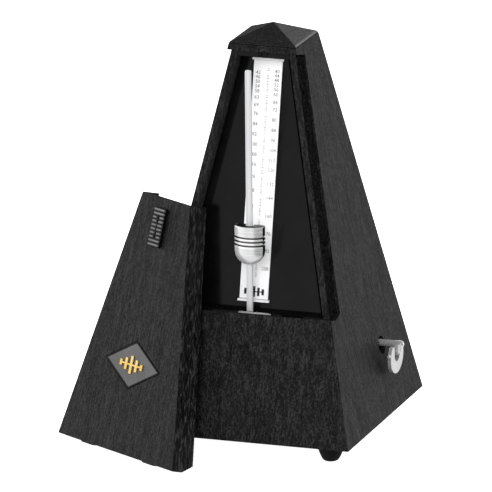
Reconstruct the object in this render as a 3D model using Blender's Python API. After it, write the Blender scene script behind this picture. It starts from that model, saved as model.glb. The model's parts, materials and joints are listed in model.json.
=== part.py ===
"""A wind-up pyramid metronome with its front cover taken off and leaned on the case.

Run it with blender --background --python part.py, or from Blender's text editor. Sizes are in
millimetres and become metres where a mesh is made. X is the width, -Y the front, Z up, and the
floor is at Z = 0. Heights named h are measured from the bottom edge of the case.
"""

import math

import bmesh
import bpy
from mathutils import Matrix, Vector

MM = 0.001
GAP = 0.3  # air between two pieces that touch on the real object
RUNNING = 0.3  # radial air round an arbor
ROUND = 20  # sides of a small round piece

# case
CASE_W, CASE_D = 117.0, 121.0
TOP_W, TOP_D = 35.7, 34.8
CASE_H, ROOF_H, FOOT_H = 194.6, 7.9, 12.5
BAND_H, EAVE = 3.3, 0.5
WALL = 2.5
POCKET = 2.9  # side walls' thickness behind the front block
SILL = 63.0
STILE = 3.4
RECESS = 12.0  # how far the stiles reach behind the front plane
KEY_HOLE_R, KEY_HOLE_DROP = 4.7, 1.2
BASE_T = 3.0
FOOT_X, FOOT_Y, FOOT_R = 41.6, 37.3, 7.8
FOOT_SCREW_R, FOOT_HEAD_R, FOOT_HEAD_TOP = 1.0, 1.6, -8.3
BOSS_TOP, BOSS_HALF = 28.0, 4.5  # blocks in the corners that take the feet's screws
PLUG = WALL + 1  # how far inside the outer planes the roof's plug stands

# cover
LID_FACE, LID_FLANGE = 2.2, 1.4
SEAT_DEPTH, REBATE = LID_FACE + GAP, LID_FLANGE + GAP
FLANGE_LOW, FLANGE_HIGH, FLANGE_CUT = 13.2, 10.9, 6.4
LID_YAW, LID_LEAN = -30.6, -15.8
LID_X, LID_Y = -64.6, -63.2
GRIP_W, GRIP_H, GRIP_OUT, GRIP_TOP = 7.8, 19.8, 3.0, 5.2
BADGE_HALF_W, BADGE_HALF_H, BADGE_UP, BADGE_T = 21.2, 12.2, 45.0, 0.6
TAB_X, TAB_HALF, TAB_DROP, TAB_T = 24.0, 4.6, 0.8, 2.4
BARS, BAR_HALF, BAR_PITCH, BAR_LINE = (1.5, 3.0, 4.5, 3.0, 1.5), 0.85, 3.9, 0.4
RIBS, RIB_SHARE, RIB_DEPTH = 10, 0.55, 0.8

# dial
PANEL_FRONT, PANEL_BACK, PLATE_BACK = 12.6, 14.3, 16.3
PANEL_STEP = 4.3
LEDGE_T, RAIL_H = 2.0, 2.6
SLOT_HALF, SLOT_REACH = 10.5, 2.2  # the rod's slot in the ledge
CATCH_HALF, CATCH_T = 2.2, 1.6
STRIP_LEFT, STRIP_RIGHT = -4.0, 13.2
SCALE_HALF, SCALE_T = 7.5, 0.7
SCALE_LOW, SCALE_HIGH = 67.4, 184.4
LIP_H, LIP_OUT = 1.0, 0.8

# pendulum
PIVOT_H = 45.8
ROD_Y, ROD_W, ROD_T, ROD_TOP = -39.4, 3.1, 1.2, 187.2
WEIGHT_H, WEIGHT_R, WEIGHT_LEN = 96.7, 7.45, 20.4
WEIGHT_FRONT, WEIGHT_SHOULDER, WEIGHT_BACK, WEIGHT_DOME, WEIGHT_ARC = 4.5, 1.4, 2.4, -2.75, 16
COUNTER_R, COUNTER_T, COUNTER_DROP = 16.0, 9.4, 26.3

# movement
PLATE_X, PLATE_T = 22.0, 1.6
PLATE_FRONT, PLATE_REAR, PLATE_TOP = -30.0, 40.0, 60.0
WIND_Y, WIND_H = 15.4, 35.2
GREAT = (48, 0.9)
MIDDLE_PINION = (12, 0.9)
MIDDLE_WHEEL = (36, 0.8)
ESCAPE_PINION = (12, 0.8)
ESCAPE_Y, CROWN_R, CROWN_TIP_X = -20.5, 9.0, 3.9
PRESSURE, BACKLASH, ADDENDUM, DEDENDUM = math.radians(20), 0.22, 0.75, 1.15
BARREL_R, BARREL_LOW, BARREL_HIGH = 18.0, -16.0, 3.0
ARBOR_R = 4.0
MOVEMENT_SCREW_R, MOVEMENT_HEAD_R = 1.3, 2.9
BUSH_R, TAIL_R, SQUARE_R = 3.2, 1.7, 2.4  # the winding arbor's right and left ends, and the key's seat
CLICK_STUD_R, CLICK_REACH = 1.0, 8.0
PENDULUM_SHAFT_R = 1.2

# key
KEY_END_X, KEY_SHAFT_R, KEY_PIN_X, KEY_PIN_DROP = 63.3, 1.75, 58.7, 3.9
SOCKET_R, SOCKET_LEN = 3.0, 4.0
LUG_HALF = 1.5
LUG = (
    (56.8, -0.6), (61.8, -0.4), (62.4, -2.0), (61.8, -3.6),
    (60.5, -5.2), (59.1, -5.6), (57.6, -5.1), (56.8, -3.8),
)
WING_HALF_W, WING_HALF_H, WING_DROP, WING_TOP, WING_T = 10.0, 8.8, 2.5, 3.6, 1.8
ARM_OUTER, ARM_MIDDLE, ARM_INNER, WING_SLOT_LOW = 6.2, 4.9, 4.0, 5.3
PIN_R, PIN_BORE, PIN_HEAD_R = 0.45, 0.15, 0.8


def half_x(h):
    return (CASE_W - (CASE_W - TOP_W) * h / CASE_H) / 2


def half_y(h):
    return (CASE_D - (CASE_D - TOP_D) * h / CASE_H) / 2


FRONT_SLOPE = math.atan((CASE_D - TOP_D) / 2 / CASE_H)
SHELL_TOP = CASE_H - BAND_H - GAP  # top of the dial opening, under the front band
LID_LENGTH = (SHELL_TOP - GAP - SILL) / math.cos(FRONT_SLOPE)


# ---- meshes ----


def make_material(name, colour, roughness, metallic):
    made = bpy.data.materials.new(name)
    made.use_nodes = True
    shader = made.node_tree.nodes["Principled BSDF"]
    shader.inputs["Base Color"].default_value = (*colour, 1)
    shader.inputs["Roughness"].default_value = roughness
    shader.inputs["Metallic"].default_value = metallic
    made.diffuse_color = (*colour, 1)
    return made


def loft(rings, closed=False):
    """One closed body through rings of points. The ends are capped, or joined when closed."""
    bm = bmesh.new()
    rows = [[bm.verts.new(point) for point in ring] for ring in rings]
    pairs = list(zip(rows, rows[1:]))
    if closed:
        pairs.append((rows[-1], rows[0]))
    else:
        bm.faces.new(list(reversed(rows[0])))
        bm.faces.new(rows[-1])
    count = len(rows[0])
    for low, high in pairs:
        for i in range(count):
            j = (i + 1) % count
            bm.faces.new((low[i], low[j], high[j], high[i]))
    bmesh.ops.recalc_face_normals(bm, faces=bm.faces)
    return bm


def on_axis(axis, along, a, b):
    return {"X": (along, a, b), "Y": (a, along, b), "Z": (a, b, along)}[axis]


def prism(outline, low, high, axis):
    return loft([[on_axis(axis, level, a, b) for a, b in outline] for level in (low, high)])


def box(low, high):
    corners = [(low[0], low[1]), (high[0], low[1]), (high[0], high[1]), (low[0], high[1])]
    return prism(corners, low[2], high[2], "Z")


def circle(radius, centre=(0, 0), sides=ROUND):
    turns = [math.tau * i / sides for i in range(sides)]
    return [(centre[0] + radius * math.cos(t), centre[1] + radius * math.sin(t)) for t in turns]


def turned(profile, axis, sides=ROUND, hollow=False):
    """A body of revolution from (along, radius) points; a hollow one's profile is a closed loop."""
    rings = []
    for along, radius in profile:
        rings.append([on_axis(axis, along, a, b) for a, b in circle(radius, sides=sides)])
    return loft(rings, closed=hollow)


def ring(low, high, inner, outer, axis, sides=ROUND):
    return turned([(low, inner), (low, outer), (high, outer), (high, inner)], axis, sides, hollow=True)


def frustum(low, high, inset):
    """A block with the case's own slopes, inset from its four outer planes."""
    rings = []
    for h in (low, high):
        x, y = half_x(h) - inset, half_y(h) - inset
        rings.append([(-x, -y, h), (x, -y, h), (x, y, h), (-x, y, h)])
    return loft(rings)


def front_slab(low, high, front, back, inset=None, half=None):
    """A slab parallel to the front plane, between two depths behind it."""
    rings = []
    for h in (low, high):
        x = half if inset is None else half_x(h) - inset
        y_front, y_back = front - half_y(h), back - half_y(h)
        rings.append([(-x, y_front, h), (x, y_front, h), (x, y_back, h), (-x, y_back, h)])
    return loft(rings)


def add(name, bm, material, parent, origin=(0, 0, 0), smooth=False):
    """Makes the object. The mesh is given about origin, in millimetres."""
    bmesh.ops.scale(bm, vec=(MM, MM, MM), verts=bm.verts)
    mesh = bpy.data.meshes.new(name)
    bm.to_mesh(mesh)
    bm.free()
    mesh.materials.append(material)
    if smooth:
        mesh.shade_smooth()
        mesh.set_sharp_from_angle(angle=math.radians(35))
    made = bpy.data.objects.new(name, mesh)
    bpy.context.scene.collection.objects.link(made)
    made.parent = parent
    made.location = Vector(origin) * MM
    return made


def boolean(target, bm, operation="DIFFERENCE"):
    """Cuts from, or joins to, target a helper shape given about the target's own origin."""
    number = len(target.modifiers) + 1
    helper = add(f"{target.name}_helper_{number}", bm, target.data.materials[0], target)
    helper.hide_render = True
    helper.display_type = "WIRE"
    modifier = target.modifiers.new(f"{operation.lower()}_{number}", "BOOLEAN")
    modifier.operation = operation
    modifier.object = helper


# ---- case ----


def seat_profile(grow):
    """The cover's side outline as (depth, up) on the cover, grown all round for its seat."""
    top = LID_LENGTH + grow
    return [
        (-2 * grow, -grow),
        (FLANGE_CUT, -grow),
        (FLANGE_LOW + grow, 3.4 - grow),
        (FLANGE_HIGH + grow, top),
        (-2 * grow, top),
    ]


def lid_height(depth, up):
    """Height on the case of a point of the closed cover."""
    return SILL + GAP + up * math.cos(FRONT_SLOPE) - depth * math.sin(FRONT_SLOPE)


def closed_lid():
    """Where the cover's own frame lies on the case when it is shut."""
    place = Matrix.Translation((0, -half_y(SILL + GAP), SILL + GAP))
    return place @ Matrix.Rotation(-FRONT_SLOPE, 4, "X")


def lid_block(profile, inset):
    """A block between the case's side planes, with a side outline on the cover."""
    sides = []
    for sign in (-1, 1):
        sides.append([(sign * (half_x(lid_height(y, z)) - inset), y, z) for y, z in profile])
    return loft(sides)


def lid_seat():
    """The air that the shut cover's face and flanges need, as shapes on the case."""
    whole = lid_block(seat_profile(GAP), -1.0)
    keep_low, keep_high = SEAT_DEPTH, FLANGE_LOW + 2
    core = [(keep_low, -3), (keep_high, -3), (keep_high, LID_LENGTH + 3), (keep_low, LID_LENGTH + 3)]
    middle = lid_block(core, REBATE)
    for bm in (whole, middle):
        bmesh.ops.transform(bm, matrix=closed_lid(), verts=bm.verts)
    return whole, middle


def build_case(case, mats):
    shell = add("case_shell", frustum(0, CASE_H - GAP, 0), mats["case"], case)
    seat, core = lid_seat()
    cutter = add("seat_cutter", seat, mats["case"], shell)
    cutter.hide_render = True
    cutter.display_type = "WIRE"
    boolean(cutter, core)
    seat_cut = shell.modifiers.new("lid_seat", "BOOLEAN")
    seat_cut.object = cutter
    rings = []
    for h in (-1, CASE_H + 1):
        x, front, rear = half_x(h) - WALL, RECESS + 0.5 - half_y(h), half_y(h) - WALL
        rings.append([(-x, front, h), (x, front, h), (x, rear, h), (-x, rear, h)])
    boolean(shell, loft(rings))
    boolean(shell, front_slab(-1, SILL - 3, WALL, RECESS + 1.3, inset=POCKET))
    boolean(shell, front_slab(SILL - 4, SILL + 1, WALL, RECESS + 1, inset=REBATE + STILE))
    boolean(shell, front_slab(SILL, SHELL_TOP - 0.1, -1, RECESS + 1, inset=REBATE + STILE))
    for x_side in (-1, 1):
        for y_side in (-1, 1):
            x_out, x_in = x_side * (half_x(BOSS_TOP) - 1), x_side * (FOOT_X - BOSS_HALF)
            y_a, y_b = y_side * (FOOT_Y - BOSS_HALF), y_side * (FOOT_Y + BOSS_HALF)
            low = (min(x_in, x_out), min(y_a, y_b), BASE_T + GAP)
            high = (max(x_in, x_out), max(y_a, y_b), BOSS_TOP)
            boolean(shell, box(low, high), "UNION")
    for x_side in (-1, 1):
        for y_side in (-1, 1):
            bore = prism(circle(FOOT_SCREW_R + GAP, (x_side * FOOT_X, y_side * FOOT_Y), 8), 1, 17, "Z")
            boolean(shell, bore)
    hole = prism(circle(KEY_HOLE_R, (WIND_Y, WIND_H - KEY_HOLE_DROP)), 40, 60, "X")
    boolean(shell, hole)

    cap_rings = []
    for h, inset in ((SHELL_TOP - 6, PLUG), (CASE_H, PLUG), (CASE_H, 0), (CASE_H + EAVE, 0)):
        x, rear = half_x(h) - inset, half_y(h) - inset
        front = -half_y(h) + (PLATE_BACK + 1 if inset else 0)
        cap_rings.append([(-x, front, h), (x, front, h), (x, rear, h), (-x, rear, h)])
    tip = 0.35
    apex = CASE_H + ROOF_H
    cap_rings.append([(-tip, -tip, apex), (tip, -tip, apex), (tip, tip, apex), (-tip, tip, apex)])
    add("roof_cap", loft(cap_rings), mats["case"], case)

    base = add("base_plate", frustum(0, BASE_T, POCKET + GAP), mats["base"], case)
    for x_side in (-1, 1):
        for y_side in (-1, 1):
            spot = (x_side * FOOT_X, y_side * FOOT_Y)
            boolean(base, prism(circle(FOOT_SCREW_R + GAP, spot, 8), -1, BASE_T + 1, "Z"))
        for y in MOVEMENT_SCREW_Y:
            spot = (x_side * MOVEMENT_SCREW_X, y)
            boolean(base, prism(circle(MOVEMENT_SCREW_R + GAP, spot, 8), -1, BASE_T + 1, "Z"))


def build_feet(case, mats):
    corners = (("front_left", -1, -1), ("front_right", 1, -1), ("rear_left", -1, 1), ("rear_right", 1, 1))
    for name, x_side, y_side in corners:
        spot = (x_side * FOOT_X, y_side * FOOT_Y, 0)
        outside = [(-FOOT_H, 2.9), (-11.8, 4.0), (-10.0, 5.5), (-7.5, 6.7), (-4.5, 7.5), (-GAP, FOOT_R)]
        bore, recess, seat = FOOT_SCREW_R + GAP, FOOT_HEAD_R + GAP, FOOT_HEAD_TOP + GAP
        inside = [(-GAP, bore), (seat, bore), (seat, recess), (-FOOT_H, recess)]
        add(f"foot_{name}", turned(outside + inside, "Z", hollow=True), mats["rubber"], case, spot, True)
        head = [(FOOT_HEAD_TOP - 1.4, FOOT_HEAD_R), (FOOT_HEAD_TOP, FOOT_HEAD_R)]
        screw = head + [(FOOT_HEAD_TOP, FOOT_SCREW_R), (14, FOOT_SCREW_R)]
        add(f"foot_screw_{name}", turned(screw, "Z", 8), mats["steel"], case, spot, True)


# ---- dial ----


def build_dial(case, mats):
    plate = add(
        "dial_insert",
        front_slab(SILL - LEDGE_T, SHELL_TOP - GAP, PANEL_BACK, PLATE_BACK, inset=WALL + 0.6),
        mats["dial"],
        case,
    )
    in_opening = REBATE + STILE + GAP
    overlap = 0.5
    ledge = front_slab(SILL - LEDGE_T, SILL, WALL + GAP, PANEL_BACK + overlap, inset=in_opening)
    boolean(plate, ledge, "UNION")
    behind = PANEL_BACK + overlap
    panel_inset = in_opening + PANEL_STEP
    panel = front_slab(SILL - LEDGE_T / 2, SHELL_TOP - 1, PANEL_FRONT, behind, inset=panel_inset)
    boolean(plate, panel, "UNION")
    rail_top, rail_low = SHELL_TOP - GAP, SHELL_TOP - GAP - RAIL_H
    boolean(plate, front_slab(rail_low, rail_top, SEAT_DEPTH + GAP, behind, inset=in_opening), "UNION")
    slot = box((-SLOT_HALF, ROD_Y - SLOT_REACH, SILL - 4), (SLOT_HALF, ROD_Y + SLOT_REACH, SILL + 1))
    boolean(plate, slot)
    sill_y = -half_y(SILL)
    for side in (-1, 1):
        x_a, x_b = side * TAB_X - TAB_HALF - 1.3, side * TAB_X + TAB_HALF + 1.3
        boolean(plate, box((x_a, sill_y, SILL - 1.7), (x_b, sill_y + 5.6, SILL + 1)))
    catch_y = SEAT_DEPTH - half_y(rail_low) + 0.4
    wide, deep = CATCH_HALF + 0.4, CATCH_T + 0.4
    boolean(plate, box((-wide, catch_y - 1.4, rail_low - 1), (wide, catch_y + deep, rail_top + 1)))
    clip = box((-CATCH_HALF, catch_y, rail_low + 0.2), (CATCH_HALF, catch_y + CATCH_T, rail_top - 0.3))
    catch = add("rod_catch", clip, mats["grip"], case)
    mouth = CATCH_HALF - 1
    boolean(catch, box((-mouth, catch_y - 1, rail_low - 1), (mouth, catch_y + CATCH_T / 2, rail_top)))

    front = PANEL_FRONT - GAP - SCALE_T
    scale = front_slab(SCALE_LOW, SCALE_HIGH, front, front + SCALE_T, half=SCALE_HALF)
    add("scale_plate", scale, mats["scale"], case)
    lips = (("scale_lip_bottom", SCALE_LOW - GAP - LIP_H), ("scale_lip_top", SCALE_HIGH + GAP))
    for name, low in lips:
        lip = front_slab(low, low + LIP_H, front - 0.6, front + SCALE_T, half=SCALE_HALF + LIP_OUT)
        add(name, lip, mats["scale"], case)

    strip = box((STRIP_LEFT, sill_y + 0.6, SILL + 0.12), (STRIP_RIGHT, sill_y + 2.2, SILL + 0.6))
    add("sill_strip", strip, mats["steel"], case)


# ---- movement ----


def meeting_point(a, a_reach, b, b_reach):
    """The lower of the two points at the given distances from a and b, in the (y, h) plane."""
    a, b = Vector(a), Vector(b)
    apart = (b - a).length
    along = (apart**2 + a_reach**2 - b_reach**2) / (2 * apart)
    across = math.sqrt(a_reach**2 - along**2)
    forward = (b - a) / apart
    sideways = Vector((-forward.y, forward.x))
    choices = [a + forward * along + sideways * across * sign for sign in (-1, 1)]
    return tuple(min(choices, key=lambda point: point.y))


def pitch_radius(gear):
    return gear[0] * gear[1] / 2


WIND = (WIND_Y, WIND_H)
ESCAPE = (ESCAPE_Y, PIVOT_H)
MIDDLE = meeting_point(
    WIND,
    pitch_radius(GREAT) + pitch_radius(MIDDLE_PINION),
    ESCAPE,
    pitch_radius(MIDDLE_WHEEL) + pitch_radius(ESCAPE_PINION),
)
PILLARS = ((-27.0, 11.0), (-27.0, 56.0), (37.0, 11.0), (37.0, 55.0))
MOVEMENT_SCREW_X, MOVEMENT_SCREW_Y = 28.0, (-22.0, 32.0)
CLICK_PIVOT = (28.0, 46.2)


def gear_outline(gear, tooth_at):
    """Involute teeth with short tips and some backlash; one tooth points along tooth_at."""
    teeth, module = gear
    pitch = pitch_radius(gear)
    base = pitch * math.cos(PRESSURE)
    at_pitch = math.pi / (2 * teeth) - BACKLASH / (2 * pitch) + math.tan(PRESSURE) - PRESSURE
    levels = []
    for radius in (pitch - DEDENDUM * module, pitch, pitch + ADDENDUM * module):
        roll = math.acos(base / max(radius, base))
        levels.append((radius, at_pitch - math.tan(roll) + roll))
    points = []
    for tooth in range(teeth):
        middle = tooth_at + math.tau * tooth / teeth
        flank = [(radius, middle - half) for radius, half in levels]
        flank += [(radius, middle + half) for radius, half in reversed(levels)]
        points += [(radius * math.cos(t), radius * math.sin(t)) for radius, t in flank]
    return points


def direction(a, b):
    return math.atan2(b[1] - a[1], b[0] - a[0])


def gap_towards(gear, a, b):
    """The tooth direction that turns a gap of the gear at a towards its mate at b."""
    return direction(a, b) + math.pi / gear[0]


def build_frame(case, mats):
    for name, side in (("left", -1), ("right", 1)):
        inner, outer, foot = PLATE_X * side, (PLATE_X + PLATE_T) * side, (PLATE_X + 10) * side
        low = BASE_T + GAP
        outline = [(inner, low), (inner, PLATE_TOP), (outer, PLATE_TOP)]
        outline += [(outer, low + PLATE_T), (foot, low + PLATE_T), (foot, low)]
        plate = prism(outline, PLATE_FRONT, PLATE_REAR, "Y")
        made = add(f"frame_plate_{name}", plate, mats["brass"], case)
        holes = [(MIDDLE, 1.2)]
        if side > 0:
            holes += [(WIND, BUSH_R), (ESCAPE, 1.0), (CLICK_PIVOT, CLICK_STUD_R)]
        else:
            holes.append((WIND, TAIL_R))
        for centre, radius in holes:
            low_x, high_x = sorted((inner - side, outer + side))
            boolean(made, prism(circle(radius + RUNNING, centre, 12), low_x, high_x, "X"))
        for y in MOVEMENT_SCREW_Y:
            spot = (side * MOVEMENT_SCREW_X, y)
            stem, head = MOVEMENT_SCREW_R, MOVEMENT_HEAD_R
            boolean(made, prism(circle(stem + GAP, spot, 8), 0, 8, "Z"))
            place = "front" if y < 0 else "rear"
            top = low + PLATE_T + GAP
            screw = turned([(0.5, stem), (top, stem), (top, head), (top + 1.6, head)], "Z", 8)
            add(f"movement_screw_{name}_{place}", screw, mats["steel"], case, (*spot, 0), True)
    for number, (y, h) in enumerate(PILLARS, 1):
        reach = PLATE_X - GAP
        pillar = turned([(-reach, 2.0), (reach, 2.0)], "X", 12)
        add(f"frame_pillar_{number}", pillar, mats["steel"], case, (0, y, h), True)


def build_barrel(barrel, mats):
    reach = ARBOR_R + RUNNING
    inner = BARREL_R - 1
    drum = [
        (BARREL_LOW, reach), (BARREL_LOW, BARREL_R), (BARREL_HIGH, BARREL_R),
        (BARREL_HIGH, inner), (BARREL_LOW + 1, inner), (BARREL_LOW + 1, reach),
    ]
    add("barrel_drum", turned(drum, "X", 32, hollow=True), mats["brass"], barrel, smooth=True)
    cover = ring(BARREL_HIGH + GAP, BARREL_HIGH + 1.3, reach, BARREL_R - 0.2, "X", 32)
    add("barrel_cover", cover, mats["brass"], barrel, smooth=True)
    wheel = prism(gear_outline(GREAT, direction(WIND, MIDDLE)), BARREL_LOW - 2.6, BARREL_LOW - GAP, "X")
    made = add("great_wheel", wheel, mats["brass"], barrel)
    boolean(made, prism(circle(reach), -30, 0, "X"))

    turns, per_turn, start, finish, thick = 5, 20, 5.4, inner - 1.0, 0.35
    rings = []
    for i in range(turns * per_turn + 1):
        t = math.tau * i / per_turn
        radius = start + (finish - start) * i / (turns * per_turn)
        low, high = BARREL_LOW + 1.4, BARREL_HIGH - 0.4
        near, far = radius - thick, radius + thick
        corners = ((low, near), (low, far), (high, far), (high, near))
        rings.append([(x, r * math.cos(t), r * math.sin(t)) for x, r in corners])
    add("mainspring", loft(rings), mats["blued"], barrel, smooth=True)


def build_winding(winding, click, case, mats):
    end = PLATE_X - GAP
    arbor = [
        (-PLATE_X - 2.4, TAIL_R), (-end, TAIL_R), (-end, ARBOR_R), (end, ARBOR_R),
        (end, BUSH_R), (PLATE_X + 4.6, BUSH_R), (PLATE_X + 4.6, SQUARE_R), (PLATE_X + 6, SQUARE_R),
    ]
    add("winding_arbor", turned(arbor, "X"), mats["steel"], winding, smooth=True)
    teeth = 16
    outline = []
    for tooth in range(teeth):
        for radius, share in ((6.2, 0.0), (7.4, 0.06)):
            t = math.tau * (tooth + share) / teeth
            outline.append((radius * math.cos(t), radius * math.sin(t)))
    low = PLATE_X + PLATE_T + GAP
    ratchet = add("ratchet_wheel", prism(outline, low, low + 2, "X"), mats["steel"], winding)
    boolean(ratchet, prism(circle(BUSH_R + GAP), 0, 40, "X"))

    to_wheel = Vector(WIND) - Vector(CLICK_PIVOT)
    along = to_wheel.normalized()
    across = Vector((-along.y, along.x))
    length = to_wheel.length - CLICK_REACH
    outline = [Vector(p) for p in circle(2.4, sides=12) if Vector(p).dot(along) < 1.2]
    outline.sort(key=lambda p: math.atan2(p.dot(across), -p.dot(along)))
    outline += [along * (length - 1.5) + across * 1.4, along * length]
    outline.append(along * (length - 0.8) - across)
    click_bm = prism([tuple(p) for p in outline], low, low + 2, "X")
    lever = add("click", click_bm, mats["steel"], click)
    boolean(lever, prism(circle(CLICK_STUD_R + RUNNING, sides=12), 0, 40, "X"))
    under_head = low + 2 + GAP
    stud = [(PLATE_X + 0.2, CLICK_STUD_R), (under_head, CLICK_STUD_R), (under_head, 1.9), (low + 3.2, 1.9)]
    add("click_stud", turned(stud, "X", 12), mats["steel"], case, (0, *CLICK_PIVOT), True)
    spring_y, spring_h = CLICK_PIVOT[0] + 3.2, CLICK_PIVOT[1]
    bend = [(0.0, -9.0), (0.6, -3.0), (0.0, 3.0), (0.0, 9.0)]
    outline = bend + [(y + 0.6, h) for y, h in reversed(bend)]
    spring = prism(outline, low, low + 2, "X")
    add("click_spring", spring, mats["blued"], case, (0, spring_y, spring_h))


def build_train(middle, escape, case, mats):
    end = PLATE_X - GAP
    tip = PLATE_X + PLATE_T + 0.4
    shaft = [(-tip, 1.2), (-end, 1.2), (-end, 1.7), (end, 1.7), (end, 1.2), (tip, 1.2)]
    arbor = add("intermediate_arbor", turned(shaft, "X", 12), mats["steel"], middle)
    pinion = gear_outline(MIDDLE_PINION, gap_towards(MIDDLE_PINION, MIDDLE, WIND))
    boolean(arbor, prism(pinion, BARREL_LOW - 4.2, BARREL_LOW + 0.8, "X"), "UNION")
    wheel = prism(gear_outline(MIDDLE_WHEEL, direction(MIDDLE, ESCAPE)), 12, 13.8, "X")
    made = add("intermediate_wheel", wheel, mats["brass"], middle)
    boolean(made, prism(circle(1.7 + GAP, sides=12), 0, 20, "X"))

    shaft = [(3.0, 1.0), (tip, 1.0)]
    arbor = add("escape_arbor", turned(shaft, "X", 12), mats["steel"], escape)
    pinion = gear_outline(ESCAPE_PINION, gap_towards(ESCAPE_PINION, ESCAPE, MIDDLE))
    boolean(arbor, prism(pinion, 10.5, 15.5, "X"), "UNION")

    teeth, disc_low, disc_high, root_x = 15, 5.6, 6.8, 5.3
    rings = []
    for step in range(teeth * 3):
        t = math.tau * (step // 3 + (0.0, 0.08, 0.54)[step % 3]) / teeth
        tooth_x = (CROWN_TIP_X, root_x, (CROWN_TIP_X + root_x) / 2)[step % 3]
        section = (
            (disc_low, 1.0 + GAP), (disc_low, CROWN_R - 1.2), (tooth_x, CROWN_R - 1.2),
            (tooth_x, CROWN_R), (disc_high, CROWN_R), (disc_high, 1.0 + GAP),
        )
        rings.append([(x, r * math.cos(t), r * math.sin(t)) for x, r in section])
    add("escape_wheel", loft(rings, closed=True), mats["brass"], escape)

    near, far, top = 8.2, PLATE_X - GAP, PIVOT_H + 11.2
    outline = [(near, PIVOT_H - 4), (near, top), (far, top), (far, top - 1.4)]
    outline += [(near + 1.4, top - 1.4), (near + 1.4, PIVOT_H - 4)]
    cock = add("escape_cock", prism(outline, ESCAPE_Y - 4, ESCAPE_Y + 4, "Y"), mats["brass"], case)
    boolean(cock, prism(circle(1.0 + RUNNING, ESCAPE, 12), near - 1, near + 3, "X"))


def build_pendulum(pendulum, case, mats):
    """The swinging group is modelled about its pivot, which is on the arbor's line at Y = 0."""
    rear_end, shaft_r = -6.5, PENDULUM_SHAFT_R
    head = ROD_Y - ROD_T / 2 - GAP
    arbor = [(head - 1.8, 2.6), (head, 2.6), (head, shaft_r), (rear_end, shaft_r)]
    add("pendulum_arbor", turned(arbor, "Y", 16), mats["steel"], pendulum, smooth=True)
    hub_low = ROD_Y + ROD_T / 2 + GAP
    hub = ring(hub_low, hub_low + 3, shaft_r + GAP, 4.0, "Y")
    add("pendulum_hub", hub, mats["brass"], pendulum, smooth=True)
    to_pallet, collet_r, flag_x, flag_half = CROWN_R - 0.6, 2.2, 3.3, 0.6
    for name, side in (("front", -1), ("rear", 1)):
        y, lean = ESCAPE_Y + side * to_pallet, math.radians(-45 * side)
        outline = []
        for i in range(11):
            t = lean + math.radians(25 + 31 * i)
            outline.append((collet_r * math.cos(t), collet_r * math.sin(t)))
        for z in (-flag_half, flag_half):
            across, up = math.cos(lean), math.sin(lean)
            outline.append((flag_x * across - z * up, flag_x * up + z * across))
        flag = prism(outline, y - 1.2, y + 1.2, "Y")
        pallet = add(f"pallet_{name}", flag, mats["steel"], pendulum)
        boolean(pallet, prism(circle(shaft_r + GAP, sides=12), -60, 0, "Y"))

    top, half = ROD_TOP - PIVOT_H, ROD_W / 2
    drop, eye = COUNTER_DROP + 3, 3.6
    eye_start = math.acos(half / eye)
    right = []
    for share in (-1, -0.5, 0, 0.5, 1):
        t = eye_start * share
        right.append((eye * math.cos(t), eye * math.sin(t)))
    corner = 0.6
    crown = []
    for side, start in ((1, 0.0), (-1, math.pi / 2)):
        for i in range(4):
            t = start + math.pi / 6 * i
            x, z = side * (half - corner), top - corner
            crown.append((x + corner * math.cos(t), z + corner * math.sin(t)))
    left = [(-x, z) for x, z in reversed(right)]
    outline = [(-half, -drop), (half, -drop)] + right + crown + left
    rod = prism(outline, ROD_Y - ROD_T / 2, ROD_Y + ROD_T / 2, "Y")
    rod_made = add("pendulum_rod", rod, mats["rod"], pendulum)
    boolean(rod_made, prism(circle(shaft_r + GAP, sides=16), ROD_Y - 3, ROD_Y + 3, "Y"))
    rear = ROD_Y - ROD_T / 2 - GAP
    disc = prism(circle(COUNTER_R, (0, -COUNTER_DROP), 32), rear - COUNTER_T, rear, "Y")
    add("counterweight", disc, mats["iron"], pendulum, smooth=True)

    outside = PLATE_X + PLATE_T
    bridges = (("front", PLATE_FRONT - 1.8, -outside, outside), ("rear", -8.5, GAP - PLATE_X, 3.4))
    for name, y, low_x, high_x in bridges:
        bar = box((low_x, y, PIVOT_H - 4), (high_x, y + 1.2, PIVOT_H + 4))
        bridge = add(f"bearing_bridge_{name}", bar, mats["brass"], case)
        boolean(bridge, prism(circle(shaft_r + RUNNING, (0, PIVOT_H), 16), y - 1, y + 3, "Y"))


def weight_section(z, shrink):
    """The weight's outline at a height: a shallow rounded front between square shoulders, and a flat back."""
    below = max(0.0, WEIGHT_DOME - z) * WEIGHT_R / (WEIGHT_LEN / 2 + WEIGHT_DOME)
    width = math.sqrt(max(WEIGHT_R**2 - below**2, 0.8)) - shrink
    rise = (WEIGHT_FRONT - WEIGHT_SHOULDER) * width / WEIGHT_R
    shoulder = WEIGHT_SHOULDER * width / WEIGHT_R
    radius = (width**2 + rise**2) / (2 * rise)
    reach = math.asin(width / radius)
    ring = []
    for i in range(WEIGHT_ARC + 1):
        t = reach * (2 * i / WEIGHT_ARC - 1)
        ring.append((radius * math.sin(t), radius * (1 - math.cos(t)) - rise - shoulder, z))
    return ring + [(width, WEIGHT_BACK, z), (-width, WEIGHT_BACK, z)]


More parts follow.
